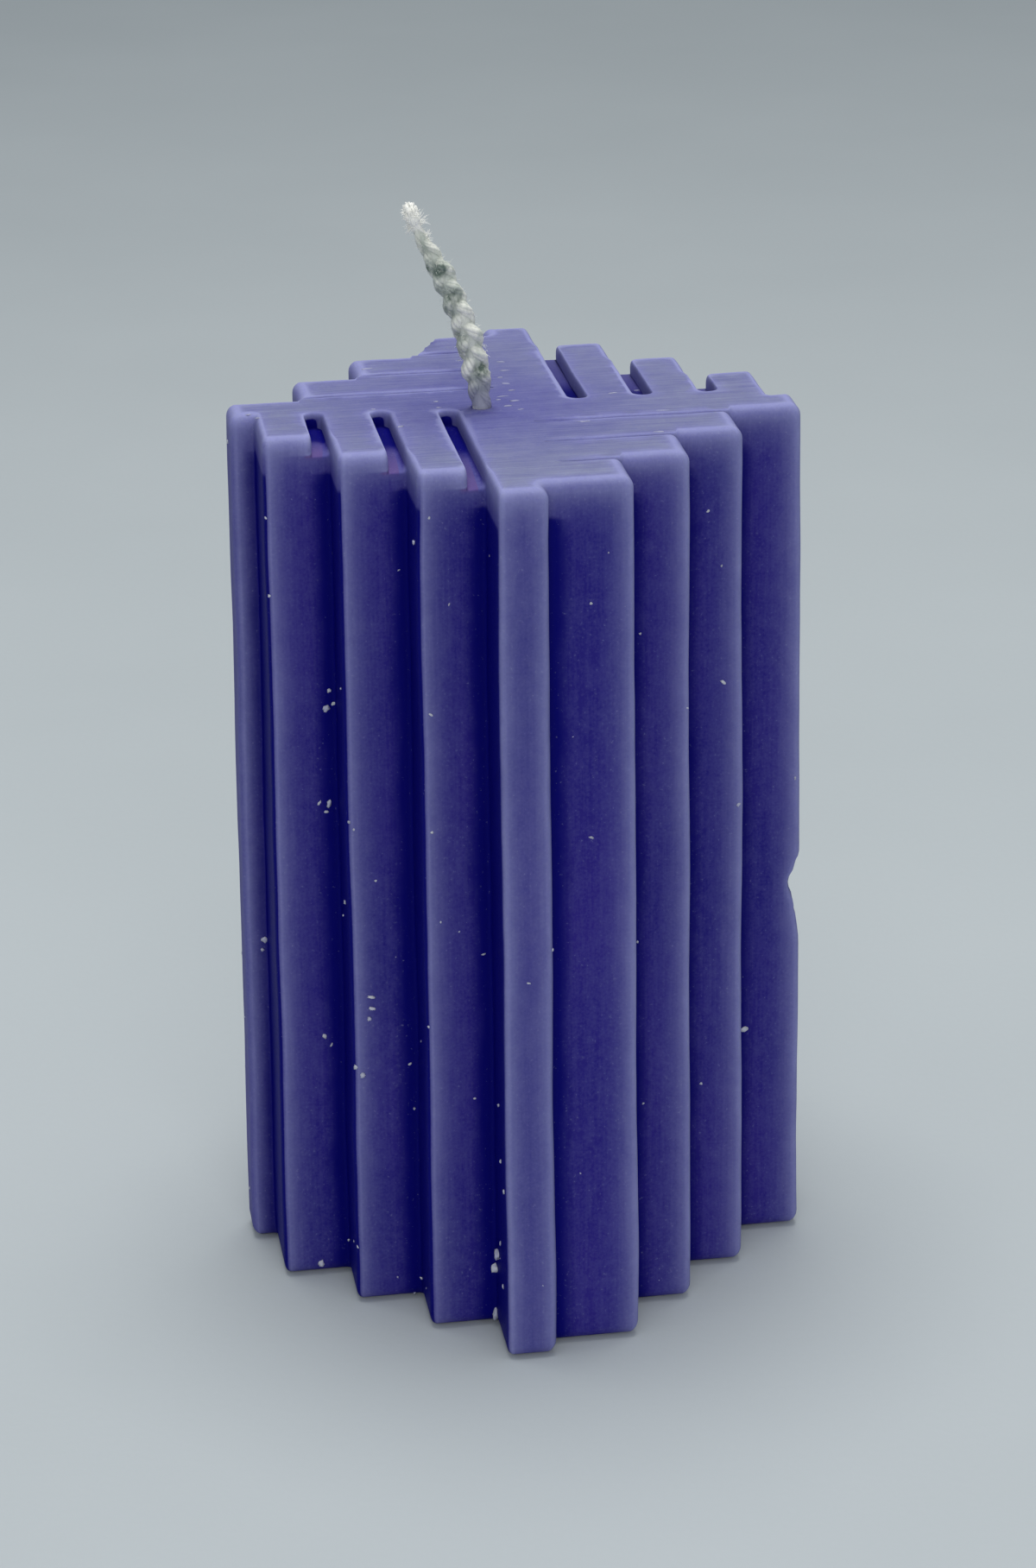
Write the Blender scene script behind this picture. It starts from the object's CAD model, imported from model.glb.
import math
import random
from typing import NamedTuple

import bpy
from mathutils import Matrix, Vector, geometry, noise
from mathutils.bvhtree import BVHTree


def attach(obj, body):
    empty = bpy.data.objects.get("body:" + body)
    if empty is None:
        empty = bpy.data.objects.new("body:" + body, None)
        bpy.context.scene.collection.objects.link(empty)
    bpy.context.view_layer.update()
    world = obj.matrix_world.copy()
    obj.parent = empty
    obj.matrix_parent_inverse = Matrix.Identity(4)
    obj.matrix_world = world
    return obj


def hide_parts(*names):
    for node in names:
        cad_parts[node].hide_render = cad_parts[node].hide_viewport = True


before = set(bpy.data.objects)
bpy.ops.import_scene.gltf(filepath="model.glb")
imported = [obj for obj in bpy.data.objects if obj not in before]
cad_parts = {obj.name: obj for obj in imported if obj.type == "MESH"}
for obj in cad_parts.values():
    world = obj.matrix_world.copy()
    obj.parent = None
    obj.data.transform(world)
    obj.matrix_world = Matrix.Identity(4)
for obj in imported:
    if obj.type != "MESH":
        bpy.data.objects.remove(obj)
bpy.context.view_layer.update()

MM = 0.001

# One seed for all that is random, the vector noise too, so that every run gives the same shapes
SEED = 11
rng = random.Random(SEED)
noise.seed_set(SEED)

# The body's dimensions, in millimetres, as the solids have them
BODY_H = 100.0
FIN_W = 5.35
CHANNEL_W = 1.85
SLIT_W = 0.4
CHANNEL_D = 2.0
CHANNEL_END = 1.1
FINS = 3
ARM_OFFSET = 1.1
ARM_STUB = 2.65
DRAFT = 0.03
EDGE_R = 0.9
INNER_R = 0.4
FLOOR_RISE = 0.2
SLIT_RISE = 0.1
PITCH = FIN_W + CHANNEL_W
ARM_REACH = ARM_OFFSET + FIN_W + FINS * PITCH + ARM_STUB
FLOOR_Z = BODY_H - CHANNEL_D

# The visible body's own form: rounder at the rim and the foot, with a flat strip inside the rim, and with
# slits that are drawn up to a share of the depth that they are laid out with
RIM_R = 1.25
RIM_STRIP = 0.8
FOOT_R = 1.8
SLIT_D = 1.45
SLIT_SHARE = 0.3

# Radius of the cuts' corners, open and closed, as a share of their width, and the least radius of all
CUT_ROUND = 0.48
MOUTH_ROUND = 0.1
LEAST_R = 0.05

# Pieces in each rounding, and the length of pieces on the uprights, the straight runs and the cuts' walls
ARC_N = 6
FOOT_N = 7
RIM_N = 6
LEVEL_STEP = 1.1
STRAIGHT_STEP = 0.8
WALL_STEP = 3 * STRAIGHT_STEP

# The wick's dimensions, in millimetres
WICK_AT = Vector((-3.7, -1.7, 0.0))
WICK_TURN = math.radians(-8.7)
BEND_R = 33.0
BEND = math.radians(30)
WICK_RUN = 3.6
TIP_R = 8.5
TIP_BEND = math.radians(24)
WICK_FOOT = 0.3

# The photograph's camera, fitted to the body's corners
PHOTO_W, PHOTO_H = 1200, 1816
FOCAL_PX = 4730.67
CAM_DIST = 461.35
CAM_YAW = math.radians(-8.719)
CAM_PITCH = math.radians(22.088)
CAM_ROLL = math.radians(-0.689)
CAM_SHIFT = (0.006, 5.133)
CAM_AIM = Vector((0.0, 0.0, 50.0))


def smooth(t):
    """A soft step from 0 to 1 as t goes from 0 to 1."""
    t = min(1.0, max(0.0, t))
    return t * t * (3 - 2 * t)


def camera_frame():
    """The camera's place in millimetres and its right, up and forward directions."""
    ahead = Vector((
        -math.sin(CAM_YAW) * math.cos(CAM_PITCH),
        math.cos(CAM_YAW) * math.cos(CAM_PITCH),
        -math.sin(CAM_PITCH),
    ))
    right = Vector((math.cos(CAM_YAW), math.sin(CAM_YAW), 0.0))
    up = right.cross(ahead)
    c, s = math.cos(CAM_ROLL), math.sin(CAM_ROLL)
    right, up = right * c + up * s, up * c - right * s
    place = CAM_AIM - ahead * CAM_DIST + right * CAM_SHIFT[0] + up * CAM_SHIFT[1]
    return place, right, up, ahead


CAM_PLACE, CAM_RIGHT, CAM_UP, CAM_AHEAD = camera_frame()


def sight(px, py):
    """The direction from the camera through a pixel of the photograph's frame."""
    across = CAM_RIGHT * ((px - PHOTO_W / 2) / FOCAL_PX)
    return (CAM_AHEAD + across + CAM_UP * ((PHOTO_H / 2 - py) / FOCAL_PX)).normalized()


# Plan of the body


class Cut(NamedTuple):
    """The cuts of a quarter: their width, the state from which they are open and how far each runs on.

    wall_rims is the rim's share on their right, end and left walls, and fin_rim on the sides of the fins.
    """

    width: float
    opens: int
    wall_rims: tuple
    longer: tuple
    fin_rim: float


class Corner(NamedTuple):
    """A corner of the plan, with the rim's share on the edge that follows it."""

    x: float
    y: float
    radius: float
    rim: float


class Arc(NamedTuple):
    """A rounded corner: its points, its turn and the outward direction at each point.

    The turn is 1 for an outer corner, -1 for an inner one and 0 on a straight run.
    """

    points: list
    turn: int
    outs: list


# States of a level, by how far the cuts are open on it, and the cuts of each quarter from the front left
CLOSED, CHANNELS, ALL = STATES = 0, 1, 2
EVEN = (0.0, 0.0, 0.0)
CHANNEL = Cut(CHANNEL_W, CHANNELS, wall_rims=(0.3, 0.3, 0.15), longer=EVEN, fin_rim=0.6)
LONG_CHANNEL = CHANNEL._replace(longer=(0.0, 1.0, 1.8), fin_rim=0.5)
SLIT = Cut(SLIT_W, ALL, wall_rims=(0.24, 0.24, 0.24), longer=EVEN, fin_rim=1.0)
CUTS = (LONG_CHANNEL, SLIT, CHANNEL, SLIT)

# Corners at an arm's end and at each fin: four of its cut, and then the fin's own
ARM_CORNERS, FIN_CORNERS = 2, 5


def side(k):
    """Distance from the middle plane to the outer side of fin k, where fin 0 is the arm."""
    return ARM_OFFSET + FIN_W + k * PITCH


def front(k):
    """Distance from the middle plane to the end of the fin that follows cut k."""
    return side(FINS - 1 - k) + CHANNEL_W


def cut_corners(k, cut, is_open):
    """The four corners of cut k: round its walls when it is open, else in a row along the fin's end."""
    w, x, y = cut.width, -side(k), -front(k)
    if not is_open:
        row = [Corner(x - INNER_R - w * j / 3, y, w * MOUTH_ROUND, 1.0) for j in (1, 2, 3)]
        return [Corner(x, y, INNER_R, 1.0)] + row
    r = w * CUT_ROUND
    end = cut.longer[k] - CHANNEL_END
    right_rim, end_rim, left_rim = cut.wall_rims
    return [
        Corner(x, y, r, right_rim),
        Corner(x, end, r, end_rim),
        Corner(x - w, end, r, left_rim),
        Corner(x - w, y, r, 1.0),
    ]


def quarter(cut, is_open):
    """Corners of a quarter of the plan, from the front arm round to the left one."""
    rows = [
        Corner(-ARM_OFFSET, -ARM_REACH, EDGE_R, 1.0),
        Corner(-side(0), -ARM_REACH, EDGE_R, cut.fin_rim),
    ]
    for k in range(FINS):
        rows += cut_corners(k, cut, is_open)
        rows.append(Corner(-side(k + 1), -front(k), EDGE_R, cut.fin_rim))
    rows.append(Corner(-side(FINS), ARM_OFFSET, INNER_R, 1.0))
    return rows


def plan(state):
    """Corners of the whole plan on a level in this state."""
    rows = []
    for q, cut in enumerate(CUTS):
        for corner in quarter(cut, state >= cut.opens):
            x, y = corner.x, corner.y
            for _ in range(q):
                x, y = y, -x
            rows.append(corner._replace(x=x, y=y))
    return rows


PLANS = [plan(state) for state in STATES]


def corner_arc(a, b, c, inset):
    """The corner b between a and c, rounded and moved in by inset."""
    pa, pb, pc = Vector((a.x, a.y)), Vector((b.x, b.y)), Vector((c.x, c.y))
    d1, d2 = (pb - pa).normalized(), (pc - pb).normalized()
    n1, n2 = Vector((d1.y, -d1.x)), Vector((d2.y, -d2.x))
    turn = -round(d1.x * d2.y - d1.y * d2.x)
    t1, t2 = inset * a.rim, inset * b.rim
    r = max(LEAST_R, b.radius - turn * min(t1, t2))
    points, outs = [], []
    for i in range(ARC_N + 1):
        t = math.pi / 2 * i / ARC_N
        if turn:
            p = pb + n1 * t1 + n2 * t2
        else:
            p = pb + n1 * (t1 + (t2 - t1) * i / ARC_N)
        points.append(p - d1 * (r * (1 - math.sin(t))) + d2 * (r * (1 - math.cos(t))))
        outs.append(-(n1 * math.cos(t) + n2 * math.sin(t)).normalized())
    return Arc(points, turn, outs)


def arcs_of(state, inset):
    """All the corners of a level."""
    rows = PLANS[state]
    n = len(rows)
    return [corner_arc(rows[i - 1], rows[i], rows[(i + 1) % n], inset) for i in range(n)]


def straight_counts():
    """Pieces in each straight run, the same on every level."""
    counts = []
    shut, cut = arcs_of(CLOSED, 0), arcs_of(ALL, 0)
    for i in range(len(shut)):
        j = (i + 1) % len(shut)
        length = (shut[j].points[0] - shut[i].points[-1]).length
        deep = (cut[j].points[0] - cut[i].points[-1]).length
        counts.append(max(1, round(length / STRAIGHT_STEP), round(deep / WALL_STEP)))
    return counts


COUNTS = straight_counts()


def ring(state, inset):
    """One level's points, and for each its corner's turn and its outward direction."""
    arcs = arcs_of(state, inset)
    points, turns, outs = [], [], []
    for i, arc in enumerate(arcs):
        points += arc.points
        turns += [arc.turn] * len(arc.points)
        outs += arc.outs
        a, b = arc.points[-1], arcs[(i + 1) % len(arcs)].points[0]
        for k in range(1, COUNTS[i]):
            points.append(a.lerp(b, k / COUNTS[i]))
            turns.append(0)
            outs.append(arc.outs[-1])
    return points, turns, outs


def cut_points():
    """For each point, the cut whose walls it lies on, and whether it lies at a front left mouth."""
    walls, lips = [], []
    per_quarter = len(PLANS[CLOSED]) // len(CUTS)
    for i, arc in enumerate(arcs_of(CLOSED, 0)):
        q, c = divmod(i, per_quarter)
        on_fins = ARM_CORNERS <= c < per_quarter - 1
        place = (c - ARM_CORNERS) % FIN_CORNERS if on_fins else FIN_CORNERS - 1
        cut, arc_n, run_n = CUTS[q], len(arc.points), COUNTS[i] - 1
        walls += [cut if place in (1, 2) else None] * arc_n
        walls += [cut if place in (0, 1, 2) else None] * run_n
        has_lip = cut is LONG_CHANNEL
        lips += [has_lip and place in (1, 2, 3)] * arc_n
        lips += [has_lip and place in (1, 2)] * run_n
    return walls, lips


WALL, LIP = cut_points()


# Marks that the wax takes its colour from

# How far the outer edges' paleness reaches, how full it is, and how much fuller on the middle of an edge
EDGE_REACH, EDGE_FULL, EDGE_LINE = 1.2, 1.05, 0.6
# How far the inner corners' darkness reaches, and the share of it that the left arm's front takes
HOLLOW_REACH, LEFT_ARM_SHARE = 6.0, 0.78
# Depth of the front arm's tip, and how far a side is turned to the left where the shade starts, there and
# elsewhere. Then the span over which the shade comes in, and how far back it ends
TIP_W, SHADE_FROM_TIP, SHADE_FROM, SHADE_SPAN, SHADE_BACK = 1.5, 0.6, 0.3, 0.4, 3.0
# What the shade takes from the paleness, and how dark it is
SHADE_LOSS, SHADE_DARK = 0.9, 0.95
# How much less pale the edges are low on the left, from where on and over what span, and up to what height
LOW_LEFT_LOSS, LOW_LEFT_X, LOW_LEFT_SPAN, LOW_LEFT_H = 0.2, -6.0, 2.0, 35.0
# Distances over which the darkness fades out up to the channels' floors, the slits fade in from the middle,
# and the rim's frost fades out down the sides
HOLLOW_FADE, SLIT_FADE, RIM_FADE = 2.6, 5.0, 1.4
# How dark a channel's end is, how pale its walls that face left are, and how far a lip runs below its mouth
CHANNEL_DARK, CHANNEL_PALE, LIP_H = 1.45, 0.45, 0.6
# Frost on the strip inside the rim, on the slits and on the channels' edges, and its gain on left edges
STRIP_FROST, SLIT_FROST, CHANNEL_FROST, LEFT_FROST = 0.3, 0.7, 0.6, 0.3
# Frost where the rim's rounding starts and what it gains up to the top
RIM_FROST, CREST_FROST = 0.5, 0.36
# The top's paleness by the wick, what it gains away from it, over what distance, and its loss to the back
CROWN, CROWN_GAIN, CROWN_REACH, CROWN_BACK = 0.54, 0.48, 27.0, 0.12


def nearness(state, turn, reach):
    """For each point of a level, its closeness along the outline to a corner that turns so, from 0 to 1."""
    points, turns, _ = ring(state, 0)
    n = len(points)
    away = [0.0 if t == turn else reach for t in turns]
    for step in (1, -1):
        for i in range(0, 2 * n * step, step):
            gap = (points[i % n] - points[(i - step) % n]).length
            away[i % n] = min(away[i % n], away[(i - step) % n] + gap)
    return [1 - d / reach for d in away]


def turned_away(p, out):
    """How far a point faces the shaded left, in front of the left arm."""
    start = SHADE_FROM_TIP if p.y < TIP_W - ARM_REACH else SHADE_FROM
    return smooth((-out.x - start) / SHADE_SPAN) * smooth((SHADE_BACK - p.y) / SHADE_BACK)


def edge_marks(state):
    """How pale each point of a level is: full on the outer edges, and falling off away from them."""
    points, turns, outs = ring(state, 0)
    n = len(points)
    marks = [0.0] * n
    for step in (1, -1):
        share = 0.0
        for i in range(0, 2 * n * step, step):
            gap = (points[i % n] - points[(i - step) % n]).length
            share = EDGE_FULL if turns[i % n] == 1 else share * math.exp(-gap / EDGE_REACH)
            if abs(i) >= n:
                marks[i % n] += share
    for i, (turn, p, out) in enumerate(zip(turns, points, outs)):
        if turn == 1:
            marks[i] = EDGE_FULL + EDGE_LINE * abs(2 * out.x * out.y)
        marks[i] *= 1 - SHADE_LOSS * turned_away(p, out)
    return marks


def hollow_marks(state):
    """How deep each point of a level lies in an inner corner, or in the shade on the left."""
    points, _, outs = ring(state, 0)
    marks = []
    for near, p, out in zip(nearness(state, -1, HOLLOW_REACH), points, outs):
        on_left_arm = p.x < -side(FINS) and out.y < -0.5
        share = LEFT_ARM_SHARE if on_left_arm else 1.0
        marks.append(max(near * share, SHADE_DARK * turned_away(p, out)))
    return marks


NEAR_EDGE = [edge_marks(state) for state in STATES]
NEAR_HOLLOW = [hollow_marks(state) for state in STATES]


def edge_share(state, i, p, z):
    """How pale point i of a level is at height z."""
    low_left = LOW_LEFT_LOSS * smooth((LOW_LEFT_X - p.x) / LOW_LEFT_SPAN) * smooth(1 - z / LOW_LEFT_H)
    return NEAR_EDGE[state][i] * (1 - low_left)


def crown_share(p):
    """How pale the top is: least by the wick, and more to the front."""
    away = (Vector(p[:2]) - WICK_AT.xy).length
    return CROWN + CROWN_GAIN * smooth(away / CROWN_REACH) - CROWN_BACK * p[1] / ARM_REACH


def rim_share(z, inset):
    """How frosted the rim is: most where its rounding meets the top, and falling off below it."""
    if z <= BODY_H / 2:
        return 0.0
    if inset > RIM_R:
        return STRIP_FROST
    round_share = math.asin(max(0.0, 1 - (BODY_H - z) / RIM_R)) / (math.pi / 2)
    drop = max(0.0, BODY_H - RIM_R - z)
    return RIM_FROST * math.exp(-drop / RIM_FADE) + CREST_FROST * smooth((round_share - 0.3) / 0.5)


def channel_shade(p, out, z, rise):
    """How dark and how frosted a point of a channel is.

    It is dark towards the channel's end, and frosted on walls that face left and on the upper edges.
    """
    k = int((abs(p.x) - side(0)) / PITCH + 0.1)
    way_in = (front(k) - abs(p.y)) / (front(k) - CHANNEL_END)
    pale = smooth((z - BODY_H + CHANNEL_D - FLOOR_RISE) / FLOOR_RISE) * smooth(-out.x)
    lit = rise * (CHANNEL_FROST + LEFT_FROST * smooth(out.x))
    return CHANNEL_DARK * way_in * (1 - pale) * (1 - rise), max(CHANNEL_PALE * pale, lit)


# Damage and unevenness

# The nick in the right arm's end: its height, its reach up, down and in, where it lies from front to back,
# how deep it is at the front and the back, and how far below and above it the levels lie closer
NICK_Z = 43.2
NICK_UP, NICK_DOWN, NICK_REACH = 3.9, 6.4, 3.4
NICK_Y = (-8.0, 1.0)
NICK_DEEP = (1.35, 0.75)
NICK_FINE = (7.0, 5.0)

# The broken end of the last plate at the back left: a point of the break, how it slants with depth and with
# height, and the part of the plan that it takes in
BREAK_AT = Vector((-7.5, 21.25, BODY_H))
BREAK_SLOPE = Vector((-1, 0.46, 0.4))
BREAK_X, BREAK_Y = (-10.0, -3.0), (20.95, 31.0)

# Size of the slow waves along the uprights, of the finer ripples and of the top's ripples, in millimetres,
# and the rates at which their noise runs across and up
WAVE, RIPPLE, TOP_RIPPLE = 0.2, 0.05, 0.05
WAVE_RATE, RIPPLE_RATE, TOP_RATE = (0.06, 0.045), (0.3, 0.16), 0.35


def nicked(p):
    """A point moved in where the nick takes it in: a wide bowl, with a sharper notch in its middle."""
    grow = 1 + DRAFT * (1 - NICK_Z / BODY_H)
    inward = 1 - (ARM_REACH * grow - p.x) / NICK_REACH
    height = p.z - NICK_Z
    above = height > 0
    along = height / NICK_UP if above else -height / NICK_DOWN
    if inward < 0 or along > 1 or not NICK_Y[0] < p.y < NICK_Y[1]:
        return p
    bowl = 1 - along ** 2.2 if above else (1 - along) ** 1.2
    notch = max(0.0, 1 - along / (0.7 if above else 0.3))
    back = smooth((p.y + side(0) * grow) / FIN_W)
    deep = NICK_DEEP[0] * (1 - back) + NICK_DEEP[1] * back
    rough = 1 + 0.3 * noise.noise(p * 1.3)
    cut = deep * rough * (0.75 * bowl + 0.25 * notch)
    return p - Vector((cut * min(1.0, inward) ** 1.5, 0, 0))


def broken(p):
    """A point moved back onto the break where it lies past it."""
    if not (BREAK_X[0] < p.x < BREAK_X[1] and BREAK_Y[0] < p.y < BREAK_Y[1]):
        return p
    over = (p - BREAK_AT).dot(BREAK_SLOPE) + 0.25 * noise.noise(p * 0.5)
    return p - BREAK_SLOPE * (max(0.0, over) / BREAK_SLOPE.length_squared)


def noise_at(p, rate, shift):
    """A noise vector at a point, at a rate across and a rate up."""
    return noise.noise_vector(Vector((p.x * rate[0], p.y * rate[0], p.z * rate[1] + shift)))


def settle(p):
    """A point of the side with the small unevenness of a hand-cast body, and its damage."""
    lift = smooth(p.z / 6) * 0.9 + 0.1
    wave = noise_at(p, WAVE_RATE, 7)
    ripple = noise_at(p, RIPPLE_RATE, -3)
    q = p + Vector((wave.x, wave.y, 0)) * (WAVE * lift) + Vector((ripple.x, ripple.y, 0)) * (RIPPLE * lift)
    if p.z > 1:
        q.z += TOP_RIPPLE * ripple.z * smooth((p.z - 95) / 4)
    return broken(nicked(q))


# Mesh helpers


class Build:
    """Points in millimetres, faces and named values per point, made into a mesh object in metres."""

    def __init__(self, *names):
        self.points, self.faces = [], []
        self.values = {name: [] for name in names}

    def add(self, p, **values):
        self.points.append(p)
        for name, kept in self.values.items():
            kept.append(values.get(name, 0.0))
        return len(self.points) - 1

    def bridge(self, a, b):
        n = len(a)
        for i in range(n):
            j = (i + 1) % n
            self.faces.append((a[i], a[j], b[j], b[i]))

    def object(self, name, material):
        mesh = bpy.data.meshes.new(name)
        mesh.from_pydata([p * MM for p in self.points], [], self.faces)
        for key, kept in self.values.items():
            mesh.attributes.new(key, "FLOAT", "POINT").data.foreach_set("value", kept)
        mesh.shade_smooth()
        mesh.materials.append(material)
        mesh.validate()
        mesh.update()
        ob = bpy.data.objects.new(name, mesh)
        bpy.context.collection.objects.link(ob)
        return ob


def inside(p, outline):
    """Whether a point lies inside a closed outline."""
    hit = False
    for i in range(len(outline)):
        a, b = outline[i - 1], outline[i]
        if (a.y > p.y) != (b.y > p.y) and p.x < (b.x - a.x) * (p.y - a.y) / (b.y - a.y) + a.x:
            hit = not hit
    return hit


def tube(out, points, radii, sides, values):
    """A closed tube along points, with each ring's values given by a function of the point."""
    n = len(points)
    ahead = (points[1] - points[0]).normalized()
    normal = ahead.orthogonal().normalized()
    rings = []
    for i, p in enumerate(points):
        d = (points[min(i + 1, n - 1)] - points[max(i - 1, 0)]).normalized()
        normal = (normal - d * normal.dot(d)).normalized()
        other = d.cross(normal)
        row = []
        for k in range(sides):
            a = math.tau * k / sides
            q = p + (normal * math.cos(a) + other * math.sin(a)) * radii[i]
            row.append(out.add(q, **values(i, q)))
        rings.append(row)
    for a, b in zip(rings, rings[1:]):
        out.bridge(a, b)
    out.faces.append(tuple(reversed(rings[0])))
    out.faces.append(tuple(rings[-1]))


def on_sphere(polar, a):
    """The direction at an angle from the pole and an angle round it."""
    return Vector((math.sin(polar) * math.cos(a), math.sin(polar) * math.sin(a), math.cos(polar)))


def stretched(d, half):
    """A direction's point on a lump with these half sizes."""
    return Vector((d.x * half[0], d.y * half[1], d.z * half[2]))


def lump(out, place, axes, half, rough, n_lat, n_long, **values):
    """A small uneven lump about a place, with its half sizes along axes."""
    seed = rng.uniform(0, 90)
    rows = []
    for i in range(1, n_lat):
        polar = math.pi * i / n_lat
        row = []
        for j in range(n_long):
            d = on_sphere(polar, math.tau * j / n_long)
            r = 1 + rough * noise.noise(d * 1.6 + Vector((seed, 0, 0)))
            row.append(out.add(place + axes @ (stretched(d, half) * r), **values))
        rows.append(row)
    for a, b in zip(rows, rows[1:]):
        out.bridge(b, a)
    out.faces.append(tuple(rows[0]))
    out.faces.append(tuple(reversed(rows[-1])))


# Wax body

# The low collar of wax at the wick, as (radius, height over the top), and the points in each ring of it
COLLAR = ((1.14, 0.42), (1.28, 0.24), (1.6, 0.10), (2.3, 0.02))
WELL_N = 28
# Distance of the points on the top and on the base, and how far they stay from the collar
TOP_STEP, BASE_STEP, COLLAR_GAP = 1.5, 4.0, 0.4
# Square of the distance that they keep from the outline
OUTLINE_GAP_2 = 0.5


def levels():
    """Levels of the body from the base to the top, as (height, inset, state)."""
    rows = []
    for i in range(FOOT_N + 1):
        a = math.pi / 2 * (1 - i / FOOT_N)
        rows.append((FOOT_R * (1 - math.sin(a)), FOOT_R * (1 - math.cos(a)), CLOSED))
    z = FOOT_R
    while z < FLOOR_Z - 1.5 * LEVEL_STEP:
        by_nick = NICK_Z - NICK_FINE[0] < z < NICK_Z + NICK_FINE[1]
        z += LEVEL_STEP * (0.5 if by_nick else 1.0)
        rows.append((z, 0.0, CLOSED))
    slit_z = BODY_H - SLIT_D
    rows += [(FLOOR_Z - 0.25, 0.0, CLOSED), (FLOOR_Z, 0.0, CLOSED)]
    rows += [(FLOOR_Z + FLOOR_RISE, 0.0, CHANNELS), (FLOOR_Z + 2 * FLOOR_RISE, 0.0, CHANNELS)]
    rows += [(slit_z, 0.0, CHANNELS), (slit_z + SLIT_RISE, 0.0, ALL)]
    for i in range(RIM_N + 1):
        a = math.pi / 2 * i / RIM_N
        rows.append((BODY_H - RIM_R * (1 - math.sin(a)), RIM_R * (1 - math.cos(a)), ALL))
    rows.append((BODY_H, RIM_R + RIM_STRIP, ALL))
    return rows


def add_level(body, z, inset, state):
    """One level of the body's sides, as the numbers of its points."""
    points, _, outs = ring(state, inset)
    grow = 1 + DRAFT * (1 - z / BODY_H)
    rise = smooth((z - BODY_H + RIM_R) / RIM_R)
    deep = smooth((FLOOR_Z - z) / HOLLOW_FADE)
    frost = rim_share(z, inset)
    row = []
    for i, (p, out) in enumerate(zip(points, outs)):
        wall = WALL[i] if WALL[i] and state >= WALL[i].opens else None
        shown, crown, edge, lip = z, rise, 0.0, 0.0
        if wall is SLIT:
            fade = smooth((abs(p.x) - CHANNEL_END) / SLIT_FADE)
            shown = BODY_H - (BODY_H - z) * SLIT_SHARE * fade
            hollow, rim, crown = 0.0, SLIT_FROST * fade, 1.0
        elif wall:
            hollow, rim = channel_shade(p, out, z, rise)
        else:
            hollow, rim = NEAR_HOLLOW[state][i] * deep, frost
            edge = edge_share(state, i, p, z)
        if LIP[i] and state == CLOSED:
            lip = smooth(1 - (FLOOR_Z - z) / LIP_H)
        place = settle(Vector((p.x * grow, p.y * grow, shown)))
        crown *= crown_share(p)
        row.append(body.add(place, edge=edge, hollow=hollow, crown=crown, rim=rim, lip=lip))
    return row


def cap_grid(outline, step):
    """Points in staggered rows inside an outline, clear of it and of the collar."""
    grid = []
    n = int(2 * ARM_REACH / step) + 2
    for i in range(n):
        for j in range(n):
            p = Vector((-ARM_REACH + (i + 0.5 * (j % 2)) * step, -ARM_REACH + j * step * 0.87))
            if (p - WICK_AT.xy).length < COLLAR[-1][0] + COLLAR_GAP or not inside(p, outline):
                continue
            if min((p - q).length_squared for q in outline) > OUTLINE_GAP_2:
                grid.append(p)
    return grid


def add_cap(body, last, top):
    """The top or the base inside the last level. Returns the numbers of the points round the wick."""
    outline = [body.points[i].xy for i in last]
    n_out = len(outline)
    edges = [(i, (i + 1) % n_out) for i in range(n_out)]
    well = []
    for c, (r, _) in enumerate(COLLAR):
        start = n_out + c * WELL_N
        for k in range(WELL_N):
            a = math.tau * k / WELL_N
            well.append(WICK_AT.xy + Vector((math.cos(a), math.sin(a))) * r)
            edges.append((start + k, start + (k + 1) % WELL_N))
    coords = outline + well + cap_grid(outline, TOP_STEP if top else BASE_STEP)
    verts, _, faces, origin, _, _ = geometry.delaunay_2d_cdt(coords, edges, [], 0, 1e-5)
    ids, placed = [], {}
    for v, came in zip(verts, origin):
        first = min(came) if came else -1
        if 0 <= first < n_out:
            ids.append(last[first])
            continue
        p = Vector((v.x, v.y, BODY_H if top else 0.0))
        if top and n_out <= first < n_out + len(well):
            p.z += COLLAR[(first - n_out) // WELL_N][1]
        if top:
            p.z += TOP_RIPPLE * noise.noise(Vector((v.x * TOP_RATE, v.y * TOP_RATE, 4)))
        ids.append(body.add(broken(p), crown=crown_share(p) if top else 0.0))
        placed.update({source: ids[-1] for source in came})
    for f in faces:
        middle = sum((verts[i] for i in f), Vector((0, 0))) / 3
        if (middle - WICK_AT.xy).length < COLLAR[0][0] * 0.98 or not inside(middle, outline):
            continue
        face = [ids[i] for i in f]
        up = (verts[f[1]] - verts[f[0]]).cross(verts[f[2]] - verts[f[0]]) > 0
        body.faces.append(tuple(face if up == top else reversed(face)))
    return [placed[n_out + k] for k in range(WELL_N)]


def build_body():
    """The wax body: its sides, its top and base, and the bore for the wick."""
    body = Build("edge", "hollow", "crown", "rim", "lip")
    rings = [add_level(body, *level) for level in levels()]
    for a, b in zip(rings, rings[1:]):
        body.bridge(b, a)
    top_well = add_cap(body, rings[-1], True)
    base_well = add_cap(body, rings[0], False)
    body.bridge(top_well, base_well)
    return body


# Wick

LEAN = Vector((-math.cos(WICK_TURN), -math.sin(WICK_TURN), 0))
ACROSS = Vector((LEAN.y, -LEAN.x, 0))
ARC_1 = BEND_R * BEND
FREE_LENGTH = ARC_1 + WICK_RUN + TIP_R * TIP_BEND
NECK = FREE_LENGTH - 3.0
WICK_SAG = 0.3
LINE_STEP = 0.05

# Length of a turn of the plait and of a yarn's lay, the strands and the yarns in each, how far the strands
# swing along the lean and across it, and how far a yarn lies from its strand's middle and its radius
PLAIT, YARN_LAY = 7.6, 4.2
STRANDS, YARNS = 3, 6
STRAND_U, STRAND_V, YARN_OFF, YARN_R = 0.60, 0.33, 0.35, 0.33
CORE_R, CORE_FOOT = 0.80, 0.28
CORE_SIDES, YARN_SIDES = 14, 8
FREE_STEP, HIDDEN_STEP = 0.3, 1.1

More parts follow.
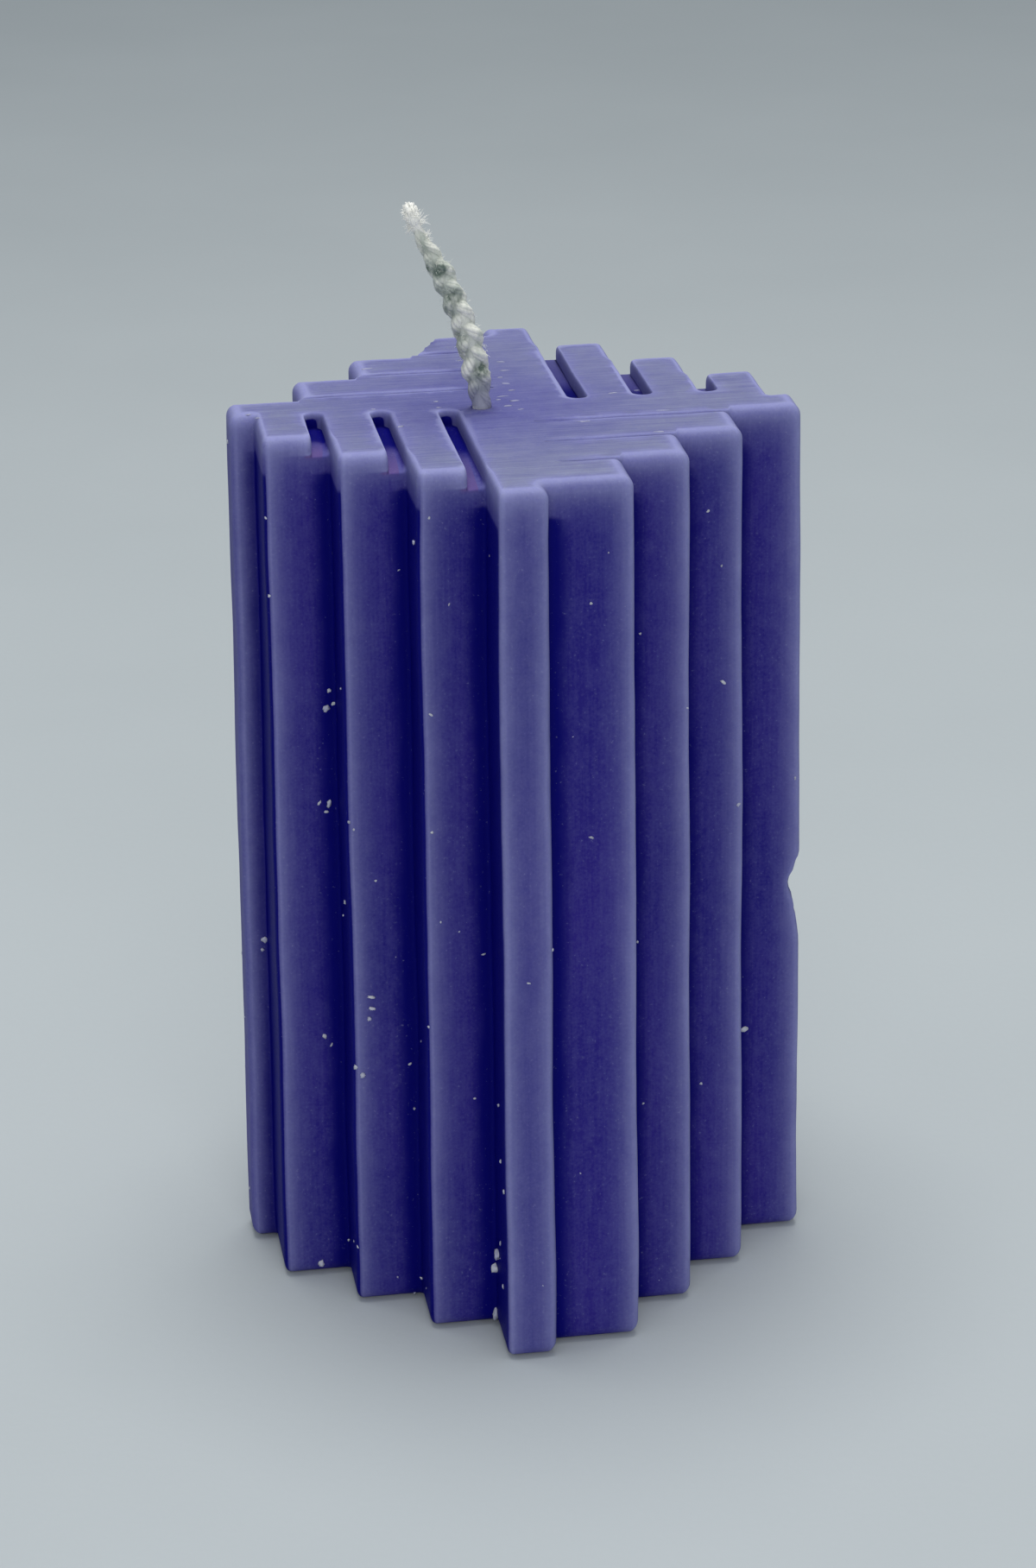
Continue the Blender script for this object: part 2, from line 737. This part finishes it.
# Stains on the wick's front, as (distance above the wax, place along the lean, size, strength), how far in
# front of the wick's middle they lie, and the distance past which they aren't looked for
STAINS = (
    (19.3, 1.0, 1.6, 0.4), (17.2, 1.3, 0.7, 1.0), (16.6, -0.1, 0.9, 1.1), (14.3, 0.9, 0.8, 0.6),
    (13.3, -0.2, 0.9, 0.9), (11.9, 1.0, 0.9, 0.7), (8.9, 0.9, 0.9, 0.7), (7.0, 1.1, 0.9, 0.6),
    (4.6, -0.5, 0.8, 1.3), (2.9, 0.0, 1.2, 0.7),
)
STAIN_FRONT, STAIN_REACH = -0.8, 3.0

# Number of fibres in the tuft at the tip, its length and its radius, then the number of fibres in the fuzz
# and how far above the wax it starts, and last the points along a fibre and round it
TUFT_N, TUFT_L, TUFT_R = 420, 2.6, 0.78
FUZZ_N, FUZZ_FROM = 200, 5.0
FIBRE_N, FIBRE_SIDES = 6, 4

# Stray bundles, as (distance above the wax, place along the lean, direction, length, fibres)
BUNDLES = (
    (NECK + 0.5, -0.4, Vector((0.95, 0, 0.35)), 1.6, 18),
    (NECK - 1.3, -0.45, Vector((0.9, 0, 0.7)), 1.0, 14),
    (NECK + 0.5, 0.4, Vector((-0.8, 0, -0.5)), 1.0, 22),
)


def wick_heading(s):
    """The wick's tilt from upright at distance s above the wax."""
    if s <= 0:
        return 0.0
    if s < ARC_1:
        return s / BEND_R
    return BEND - max(0.0, s - ARC_1 - WICK_RUN) / TIP_R


def along_wick(h):
    """The wick's own direction at a tilt."""
    return LEAN * math.sin(h) + Vector((0, 0, math.cos(h)))


def lean_of_wick(h):
    """The direction of the lean, square to the wick, at a tilt."""
    return LEAN * math.cos(h) - Vector((0, 0, math.sin(h)))


def wick_axes(s):
    """The wick's directions at s as a matrix's columns: of its lean, across it and along the wick."""
    h = wick_heading(s)
    lean, along = lean_of_wick(h), along_wick(h)
    return Matrix((lean, along.cross(lean), along)).transposed()


def wick_line():
    """Points of the wick's middle line above the wax, a step apart."""
    p, s, line = WICK_AT + Vector((0, 0, BODY_H)), 0.0, []
    while s < FREE_LENGTH + LINE_STEP / 2:
        line.append(p.copy())
        p = p + along_wick(wick_heading(s + LINE_STEP / 2)) * LINE_STEP
        s += LINE_STEP
    return line


LINE = wick_line()


def on_wick(s, u, v):
    """The point at distance s above the wax, u along the lean and v across it."""
    h = wick_heading(s)
    if s <= 0:
        middle = WICK_AT + Vector((0, 0, BODY_H + s))
    else:
        f = min(s / LINE_STEP, len(LINE) - 1.001)
        i = int(f)
        middle = LINE[i].lerp(LINE[i + 1], f - i)
        if s > FREE_LENGTH:
            middle = middle + along_wick(h) * (s - FREE_LENGTH)
    sag = WICK_SAG * math.sin(math.pi * min(1.0, max(0.0, s / FREE_LENGTH)))
    return middle + lean_of_wick(h) * (u + sag) + ACROSS * v


def girth(s):
    """The plait's size along the wick: drawn in at the wax, full above it, and thin at the neck."""
    swell = 1 + 0.05 * math.sin(s * 1.7) + 0.03 * math.sin(s * 3.1 + 1)
    full = 0.84 + 0.40 * smooth((s - 0.2) / 4.0) - 0.14 * smooth((s - 7.0) / 7.0)
    return (swell if s > 0 else 1.0) * (full - 0.55 * smooth((s - NECK + 6.0) / 6.0))


def stain(s, p):
    """How stained a point of the wick is."""
    depth = 0.0
    for at, u, size, strength in STAINS:
        if abs(at - s) < STAIN_REACH:
            away = (p - on_wick(at, u, STAIN_FRONT)).length
            depth = max(depth, strength * smooth(1.5 - 1.5 * away / (1.6 * size)))
    return depth


def wick_values(s, p):
    """The values at a point of the wick that the cotton takes its colour from."""
    off = p - on_wick(s, 0, 0)
    along = along_wick(wick_heading(s))
    out = (off - along * off.dot(along)).length / (1.28 * girth(s))
    return {
        "crease": smooth((0.95 - out) / 0.55) * (1 - smooth((s - NECK) / 1.2)),
        "soak": 1 - smooth((s - 1.4) / 3.2),
        "tuft": smooth((s - NECK + 0.8) / 1.2),
        "stain": stain(s, p),
    }


def wick_steps():
    """Distances above the wax of the wick's rings, wider apart inside the wax."""
    s, steps = -BODY_H + WICK_FOOT, []
    while s < FREE_LENGTH:
        steps.append(s)
        s += FREE_STEP if s > -1.5 else HIDDEN_STEP
    return steps


def add_core(wick, steps):
    """The core that the strands lie round, thicker at the wax."""
    steps = [s for s in steps if s < NECK + 0.6]
    points = [on_wick(s, 0, 0) for s in steps]
    radii = [(CORE_R + CORE_FOOT * (1 - smooth((s - 0.4) / 2.4))) * girth(s) for s in steps]
    tube(wick, points, radii, CORE_SIDES, lambda i, q: {**wick_values(steps[i], q), "crease": 0.75})


def add_yarn(wick, steps, k, j):
    """Yarn j of strand k, which comes loose past the neck."""
    stop = FREE_LENGTH - rng.uniform(0.0, 1.6)
    splay = rng.uniform(0.15, 0.55)
    phase = rng.uniform(-0.2, 0.2)
    steps = [s for s in steps if s < stop]
    points, radii = [], []
    for s in steps:
        g = girth(s)
        a = math.tau * (s / PLAIT + k / STRANDS)
        b = math.tau * (j / YARNS + s / YARN_LAY) + phase
        free = smooth((s - NECK) / (stop - NECK)) if s > NECK else 0.0
        u = STRAND_U * math.sin(a) + YARN_OFF * math.cos(b)
        v = STRAND_V * math.sin(2 * a) + YARN_OFF * math.sin(b)
        wobble = noise.noise_vector(Vector((k * 9 + j * 2.3, s * 0.9, 5))) * 0.06
        spread = g * (1 + splay * free)
        points.append(on_wick(s, (u + wobble.x) * spread, (v + wobble.y) * spread))
        fuzz = 1 + 0.12 * noise.noise(Vector((s * 2.1, k * 5 + j, 1)))
        radii.append(max(0.05, YARN_R * g * fuzz * (1 - 0.45 * free)))
    tube(wick, points, radii, YARN_SIDES, lambda i, q: wick_values(steps[i], q))


def build_wick():
    """The plaited wick, from the base to its tip."""
    wick = Build("crease", "soak", "tuft", "stain")
    steps = wick_steps()
    add_core(wick, steps)
    for k in range(STRANDS):
        for j in range(YARNS):
            add_yarn(wick, steps, k, j)
    return wick


def fibre(out, start, direction, length, radius, curl, tuft):
    """A loose fibre that curls at random and thins towards its end."""
    points, radii = [], []
    d = direction.normalized()
    p = start.copy()
    last = FIBRE_N - 1
    for i in range(FIBRE_N):
        points.append(p.copy())
        radii.append(radius * (1 - 0.75 * i / last))
        turn = Vector((rng.gauss(0, 1), rng.gauss(0, 1), rng.gauss(0, 1))) * curl
        d = (d + turn).normalized()
        p = p + d * (length / last)
    tube(out, points, radii, FIBRE_SIDES, lambda i, q: {"tuft": tuft})


def add_tuft(loose):
    """The tuft at the tip: a lump covered in short fibres."""
    s = NECK + 0.25 + TUFT_L / 2
    middle, axes = on_wick(s, 0, 0), wick_axes(s)
    half = (TUFT_R, TUFT_R, TUFT_L / 2)
    lump(loose, middle, axes, half, 0.35, 12, 18, tuft=1.0)
    for _ in range(TUFT_N):
        polar, a = math.acos(rng.uniform(-1, 1)), rng.uniform(0, math.tau)
        out = on_sphere(polar, a)
        start = stretched(out, half) * rng.uniform(0.7, 0.95)
        d = axes @ (out * 0.5 + Vector((rng.gauss(0, 0.4), rng.gauss(0, 0.4), 0.5)))
        place = middle + axes @ start
        fibre(loose, place, d, rng.uniform(0.25, 0.6), rng.uniform(0.05, 0.11), 0.3, 1.0)


def add_bundles(loose):
    """The stray bundles at the neck."""
    for s, u, d, length, count in BUNDLES:
        for _ in range(count):
            start = on_wick(s + rng.uniform(-0.3, 0.3), u, rng.uniform(-0.3, 0.3))
            way = d + Vector((rng.gauss(0, 0.22), rng.gauss(0, 0.3), rng.gauss(0, 0.22)))
            fibre(loose, start, way, length * rng.uniform(0.5, 1.0), rng.uniform(0.04, 0.08), 0.2, 0.9)


def add_fuzz(loose):
    """Fine fibres that stand off along the wick."""
    for _ in range(FUZZ_N):
        s = rng.uniform(FUZZ_FROM, NECK)
        a = rng.uniform(0, math.tau)
        g = girth(s)
        start = on_wick(s, 1.15 * g * math.cos(a), 0.9 * g * math.sin(a))
        d = LEAN * math.cos(a) + ACROSS * math.sin(a) + Vector((0, 0, rng.uniform(-0.4, 1.1)))
        fibre(loose, start, d, rng.uniform(0.3, 0.7), rng.uniform(0.018, 0.03), 0.35, 0.5)


def build_fibres():
    """Loose cotton: the tuft at the tip, the stray bundles below it and the fuzz along the wick."""
    loose = Build("crease", "soak", "tuft")
    add_tuft(loose)
    add_bundles(loose)
    add_fuzz(loose)
    return loose


# Crumbs of wax

# Where the photograph shows crumbs, as (across, down, size in millimetres)
SEEN_CRUMBS = (
    (381, 800, 0.5), (378, 820, 0.9), (386, 815, 0.5), (370, 930, 0.6), (381, 930, 1.1),
    (378, 940, 0.5), (400, 1045, 0.6), (435, 1020, 0.4), (430, 1155, 0.8), (431, 1168, 0.9),
    (428, 1180, 0.6), (376, 1200, 0.7), (384, 1210, 0.5), (306, 1088, 0.8), (304, 1100, 0.5),
    (420, 1245, 0.8), (475, 1232, 0.5), (480, 628, 0.7), (499, 828, 0.5), (497, 600, 0.3),
    (560, 1105, 0.4), (578, 1280, 0.7), (580, 1345, 0.6), (577, 1452, 2.2), (574, 1468, 1.8),
    (580, 1440, 0.8), (575, 1522, 1.6), (583, 1490, 0.5), (372, 1463, 0.8), (770, 1503, 0.7),
    (838, 1458, 0.7), (838, 790, 0.6), (855, 932, 0.6), (862, 1192, 0.8), (685, 970, 0.5),
    (812, 1255, 0.4), (705, 640, 0.3), (718, 432, 0.7), (308, 600, 0.4), (312, 690, 0.4),
    (820, 592, 0.5), (520, 700, 0.3), (584, 1380, 0.6), (488, 1480, 0.6), (480, 1497, 0.5),
    (480, 1284, 0.4), (404, 1436, 0.4), (404, 952, 0.5), (410, 961, 0.4), (398, 1060, 0.4),
    (796, 820, 0.4), (640, 1100, 0.4), (500, 964, 0.4), (412, 1236, 0.5),
)

# Where the photograph shows shavings on the top, as (across, down, length in millimetres)
SEEN_SCRAPES = (
    (580, 419, 0.9), (584, 429, 1.1), (579, 437, 0.6), (586, 444, 1.0), (592, 452, 0.7), (583, 459, 1.2),
    (596, 464, 0.9), (588, 470, 1.0), (603, 474, 0.8), (577, 463, 0.5), (425, 427, 1.2), (432, 474, 0.6),
    (464, 494, 0.6), (505, 465, 0.5), (508, 472, 0.6), (540, 515, 1.0), (300, 484, 0.8), (288, 480, 0.7),
    (670, 459, 1.4), (710, 455, 1.2), (739, 452, 1.0), (676, 488, 1.2), (769, 475, 1.5), (764, 500, 1.2),
)

# Fine crumbs scattered all round: tries, the distance that they come from, how far off the middle they are
# aimed, and the lowest height that they are kept at
LOOSE_TRIES, LOOSE_FROM, LOOSE_AIM, LOOSE_LOW = 90, 70.0, 16.0, 1.5


def flake(out, place, normal, size):
    """A crumb that sits on a surface."""
    spin = Matrix.Rotation(rng.uniform(0, math.tau), 3, "Z")
    axes = normal.to_track_quat("Z", "Y").to_matrix() @ spin
    half = (rng.uniform(0.3, 0.6) * size, rng.uniform(0.2, 0.45) * size, rng.uniform(0.12, 0.25) * size)
    lump(out, place + normal * (half[2] * 0.35), axes, half, 0.8, 6, 9, chalk=rng.uniform(0.3, 1.0))


def scrape(out, place, length):
    """A thin pale shaving that lies on the top, along X."""
    axes = Matrix.Rotation(rng.uniform(-0.3, 0.3), 3, "Z")
    lump(out, place, axes, (length / 2, rng.uniform(0.10, 0.2), 0.04), 0.9, 5, 10)


def build_crumbs(body):
    """Crumbs and shavings where the photograph shows them, and fine crumbs all round."""
    tree = BVHTree.FromPolygons(body.points, body.faces)
    crumbs = Build("chalk")
    for px, py, size in SEEN_CRUMBS:
        place, normal, _, _ = tree.ray_cast(CAM_PLACE, sight(px, py))
        if place is not None:
            flake(crumbs, place, normal, size)
    for px, py, length in SEEN_SCRAPES:
        place, normal, _, _ = tree.ray_cast(CAM_PLACE, sight(px, py))
        if place is not None and normal.z > 0.7:
            scrape(crumbs, place, length)
    for _ in range(LOOSE_TRIES):
        a, z = rng.uniform(0, math.tau), BODY_H * rng.random() ** 1.4
        start = Vector((math.cos(a) * LOOSE_FROM, math.sin(a) * LOOSE_FROM, z))
        aim = Vector((rng.uniform(-LOOSE_AIM, LOOSE_AIM), rng.uniform(-LOOSE_AIM, LOOSE_AIM), z))
        place, normal, _, _ = tree.ray_cast(start, (aim - start).normalized())
        if place is not None and place.z > LOOSE_LOW:
            flake(crumbs, place, normal, rng.uniform(0.15, 0.45))
    return crumbs


# Materials

# The range of a noise that its spread is taken from
NOISE_LOW, NOISE_HIGH = 0.3, 0.7


class Nodes:
    """Short calls for a material's or world's node tree."""

    def __init__(self, owner):
        owner.use_nodes = True
        self.tree = owner.node_tree
        self.tree.nodes.clear()

    def new(self, kind, links=(), **settings):
        node = self.tree.nodes.new(kind)
        for key, value in settings.items():
            setattr(node, key, value)
        for socket, value in dict(links).items():
            self.put(node.inputs[socket], value)
        return node

    def put(self, socket, value):
        if isinstance(value, bpy.types.NodeSocket):
            self.tree.links.new(value, socket)
        else:
            socket.default_value = value

    def place(self, scale):
        """The object's own coordinates in millimetres, times scale along each axis."""
        where = self.new("ShaderNodeTexCoord").outputs["Object"]
        size = [1000 * v for v in scale]
        return self.new("ShaderNodeMapping", {"Vector": where, "Scale": size}).outputs["Vector"]

    def noise(self, scale, detail=3.0, rough=0.55, distortion=0.0):
        links = {"Vector": self.place(scale), "Scale": 1.0, "Detail": detail}
        links.update({"Roughness": rough, "Distortion": distortion})
        return self.new("ShaderNodeTexNoise", links).outputs["Fac"]

    def value(self, name):
        """A value that the mesh holds per point."""
        return self.new("ShaderNodeAttribute", attribute_name=name).outputs["Fac"]

    def math(self, operation, a, b=0.0, clamp=False):
        return self.new("ShaderNodeMath", {0: a, 1: b}, operation=operation, use_clamp=clamp).outputs[0]

    def span(self, value, low, high, to_low=0.0, to_high=1.0, kind="LINEAR"):
        """A value's range from low to high spread over another."""
        links = {"Value": value, "From Min": low, "From Max": high, "To Min": to_low, "To Max": to_high}
        return self.new("ShaderNodeMapRange", links, interpolation_type=kind).outputs["Result"]

    def smooth_span(self, value, low, high, to_high):
        """The same with soft ends, from 0."""
        return self.span(value, low, high, 0.0, to_high, "SMOOTHSTEP")

    def vary(self, value, low=0.0, high=1.0):
        """A noise spread from low to high."""
        return self.span(value, NOISE_LOW, NOISE_HIGH, low, high)

    def mix(self, share, a, b):
        node = self.new("ShaderNodeMix", data_type="RGBA")
        for i, value in ((0, share), (6, a), (7, b)):
            self.put(node.inputs[i], value)
        return node.outputs[2]

    def bump(self, height, strength, distance, normal=None):
        links = {"Height": height, "Strength": strength, "Distance": distance}
        if normal is not None:
            links["Normal"] = normal
        return self.new("ShaderNodeBump", links).outputs["Normal"]

    def finish(self, **sockets):
        shader = self.new("ShaderNodeBsdfPrincipled")
        for name, value in sockets.items():
            self.put(shader.inputs[name.replace("_", " ")], value)
        self.new("ShaderNodeOutputMaterial", {"Surface": shader.outputs[0]})


def rgb(r, g, b):
    return (r, g, b, 1.0)


# The wax: deep in its faces, bloomed on its edges and top, navy in its hollows, and blushed at its lips
DEEP = rgb(0.0185, 0.015, 0.20)
DEEP_2 = rgb(0.031, 0.0205, 0.228)
BLOOM = rgb(0.285, 0.298, 0.56)
TOP_BLOOM = rgb(0.25, 0.272, 0.39)
NAVY = rgb(0.0004, 0.0004, 0.15)
CHALK = rgb(0.46, 0.48, 0.62)
BLUSH = rgb(0.13, 0.075, 0.24)
CRUMB = rgb(0.26, 0.27, 0.46)
CRUMB_2 = rgb(0.36, 0.37, 0.54)
CRUMB_CHALK = rgb(0.60, 0.62, 0.74)

# The cotton: clean, in its creases, between its fibres, stained, soaked with wax, and at its tuft
COTTON = rgb(0.96, 0.97, 0.89)
CREASE = rgb(0.28, 0.37, 0.32)
FIBRE = rgb(0.50, 0.53, 0.46)
DIRT = rgb(0.12, 0.165, 0.14)
SOAKED = rgb(0.30, 0.31, 0.42)
TUFT = rgb(0.98, 0.98, 0.94)

# The floor and the light from low and from overhead
PAPER = rgb(0.475, 0.52, 0.545)
PAPER_2 = rgb(0.495, 0.54, 0.565)
LOW_LIGHT = rgb(0.22, 0.24, 0.265)
HIGH_LIGHT = rgb(1.25, 1.34, 1.40)


def wax_material():
    m = bpy.data.materials.new("wax")
    n = Nodes(m)
    clouds = n.noise((0.06, 0.06, 0.03), 4)
    mottle = n.noise((0.3, 0.3, 0.12), 3)
    patches = n.noise((0.8, 0.8, 0.6), 3)
    streaks = n.noise((3.2, 3.2, 0.09), 3, 0.6)
    sweep = n.noise((0.10, 2.4, 0.3), 4, 0.6)
    grain = n.noise((3.2, 3.2, 3.2), 3, 0.6)
    crown, rim = n.value("crown"), n.value("rim")
    band = n.math("ADD", n.math("MULTIPLY", n.value("edge"), n.vary(mottle, 0.36, 0.46)), 0.02)
    tone = n.math("MULTIPLY", n.vary(sweep, 0.50, 0.80), n.vary(mottle, 0.90, 1.08))
    frost = n.math("SUBTRACT", n.math("ADD", band, rim), n.math("MULTIPLY", band, rim))
    frost = n.math("MAXIMUM", frost, n.math("MULTIPLY", crown, tone))
    speck = n.math("ADD", n.span(streaks, 0.35, 0.75, -0.02, 0.03), n.vary(grain, -0.04, 0.04))
    speck = n.math("ADD", speck, n.vary(patches, -0.03, 0.03))
    frost = n.math("ADD", frost, speck, clamp=True)
    on_top = n.math("MULTIPLY", crown, n.math("SUBTRACT", 1.0, rim))
    depth = n.math("ADD", n.value("hollow"), n.vary(mottle, -0.05, 0.05))
    colour = n.mix(n.vary(clouds), DEEP, DEEP_2)
    colour = n.mix(frost, colour, n.mix(on_top, BLOOM, TOP_BLOOM))
    colour = n.mix(n.smooth_span(depth, 0.58, 0.92, 0.97), colour, NAVY)
    colour = n.mix(n.smooth_span(n.value("lip"), 0.35, 1.0, 0.65), colour, BLUSH)
    colour = n.mix(n.span(grain, 0.66, 0.8, 0.0, 0.25), colour, CHALK)
    rough = n.math("ADD", n.vary(grain, 0.50, 0.60), n.math("MULTIPLY", frost, 0.1))
    normal = n.bump(streaks, 0.08, 0.0003)
    normal = n.bump(grain, 0.15, 0.0002, normal)
    n.finish(
        Base_Color=colour, Roughness=rough, Normal=normal, IOR=1.44, Specular_IOR_Level=0.06,
        Subsurface_Weight=0.3, Subsurface_Radius=(0.5, 0.45, 1.0), Subsurface_Scale=0.0015,
    )
    return m


def crumb_material():
    m = bpy.data.materials.new("wax_crumb")
    n = Nodes(m)
    grain = n.noise((2.5, 2.5, 2.5), 3)
    colour = n.mix(n.span(grain, 0.35, 0.65), CRUMB, CRUMB_2)
    colour = n.mix(n.value("chalk"), colour, CRUMB_CHALK)
    n.finish(
        Base_Color=colour, Roughness=n.vary(grain, 0.5, 0.7), Normal=n.bump(grain, 0.3, 0.0002),
        Subsurface_Weight=0.3, Subsurface_Radius=(0.6, 0.6, 1.0), Subsurface_Scale=0.001,
    )
    return m


def cotton_material():
    m = bpy.data.materials.new("cotton")
    n = Nodes(m)
    fibres = n.noise((5.0, 5.0, 1.6), 4, 0.65, 0.6)
    blotch = n.noise((0.55, 0.55, 0.4), 3)
    shadow = n.noise((0.42, 0.42, 0.34), 2)
    smear = n.noise((1.8, 1.8, 1.2), 3)
    soak = n.value("soak")
    shade = n.math("MULTIPLY", n.value("crease"), n.span(blotch, 0.35, 0.7, 0.15, 0.9))
    shade = n.math("MAXIMUM", shade, n.smooth_span(shadow, 0.46, 0.64, 0.5))
    dirt = n.math("MULTIPLY", n.value("stain"), n.span(smear, 0.35, 0.65, 0.4, 1.1), clamp=True)
    colour = n.mix(shade, COTTON, CREASE)
    colour = n.mix(n.span(fibres, 0.4, 0.7, 0.0, 0.4), colour, FIBRE)
    colour = n.mix(dirt, colour, DIRT)
    colour = n.mix(n.math("MULTIPLY", soak, 0.9), colour, SOAKED)
    colour = n.mix(n.math("MULTIPLY", n.value("tuft"), 0.95), colour, TUFT)
    rough = n.math("SUBTRACT", n.vary(fibres, 0.85, 0.95), n.math("MULTIPLY", soak, 0.4))
    n.finish(
        Base_Color=colour, Roughness=rough, Normal=n.bump(fibres, 0.5, 0.0002),
        Subsurface_Weight=0.15, Subsurface_Radius=(1.0, 1.0, 0.9), Subsurface_Scale=0.0008,
    )
    return m


def paper_material():
    m = bpy.data.materials.new("paper")
    n = Nodes(m)
    tone = n.noise((0.012, 0.012, 0.012), 3)
    tooth = n.noise((0.9, 0.9, 0.9), 3)
    colour = n.mix(n.vary(tone), PAPER, PAPER_2)
    n.finish(Base_Color=colour, Roughness=n.vary(tooth, 0.8, 0.95), Normal=n.bump(tooth, 0.05, 0.0005))
    return m


# Stage

# Radii of the floor's rings and the spokes in it
FLOOR_RINGS = (200.0, 800.0, 2400.0, 6000.0)
FLOOR_SPOKES = 48
SENSOR = 36.0


def build_floor(material):
    """A wide pale floor under the candle."""
    sheet = Build()
    spokes = [math.tau * k / FLOOR_SPOKES for k in range(FLOOR_SPOKES)]
    rows = []
    for r in FLOOR_RINGS:
        rows.append([sheet.add(Vector((r * math.cos(a), r * math.sin(a), 0))) for a in spokes])
    sheet.faces.append(tuple(rows[0]))
    for a, b in zip(rows, rows[1:]):
        sheet.bridge(b, a)
    sheet.object("floor", material)


def area_light(name, place, aim, size, power, colour):
    data = bpy.data.lights.new(name, "AREA")
    data.shape = "DISK"
    data.size = size
    data.energy = power
    data.color = colour
    ob = bpy.data.objects.new(name, data)
    ob.location = place
    ob.rotation_euler = (Vector(aim) - Vector(place)).to_track_quat("-Z", "Y").to_euler()
    bpy.context.collection.objects.link(ob)


def build_world():
    """Soft light from all round, brighter overhead."""
    world = bpy.data.worlds.new("studio")
    bpy.context.scene.world = world
    n = Nodes(world)
    where = n.new("ShaderNodeTexCoord").outputs["Generated"]
    up = n.new("ShaderNodeSeparateXYZ", {0: where}).outputs["Z"]
    colour = n.mix(n.span(up, 0.0, 0.7), LOW_LIGHT, HIGH_LIGHT)
    back = n.new("ShaderNodeBackground", {"Color": colour, "Strength": 0.34})
    n.new("ShaderNodeOutputWorld", {"Surface": back.outputs[0]})


def build_camera():
    data = bpy.data.cameras.new("camera")
    data.sensor_fit = "AUTO"
    data.sensor_width = SENSOR
    data.lens = FOCAL_PX * SENSOR / PHOTO_H
    data.clip_start, data.clip_end = 0.01, 20.0
    ob = bpy.data.objects.new("camera", data)
    rows = Matrix((CAM_RIGHT, CAM_UP, -CAM_AHEAD)).transposed()
    ob.matrix_world = Matrix.Translation(CAM_PLACE * MM) @ rows.to_4x4()
    bpy.context.collection.objects.link(ob)
    bpy.context.scene.camera = ob


# Assembly

build_camera()
build_floor(paper_material())
build_world()
area_light("overhead", (0.0, 0.06, 0.75), (0, 0, 0.05), 0.4, 3.3, (1.0, 0.98, 0.95))
area_light("front", (-0.10, -1.18, 0.52), (0, 0, 0.06), 0.9, 5.5, (1.0, 0.99, 0.97))
bpy.context.scene.view_settings.view_transform = "Standard"

cotton = cotton_material()
body_form = build_body()
body = body_form.object("wax_pillar", wax_material())
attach(body, "root")
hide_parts("wax_body")

crumbs = build_crumbs(body_form).object("wax_crumbs", crumb_material())
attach(crumbs, "root")

wick = build_wick().object("wick_plait", cotton)
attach(wick, "root")
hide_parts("wick")

fibres = build_fibres().object("wick_fibres", cotton)
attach(fibres, "root")
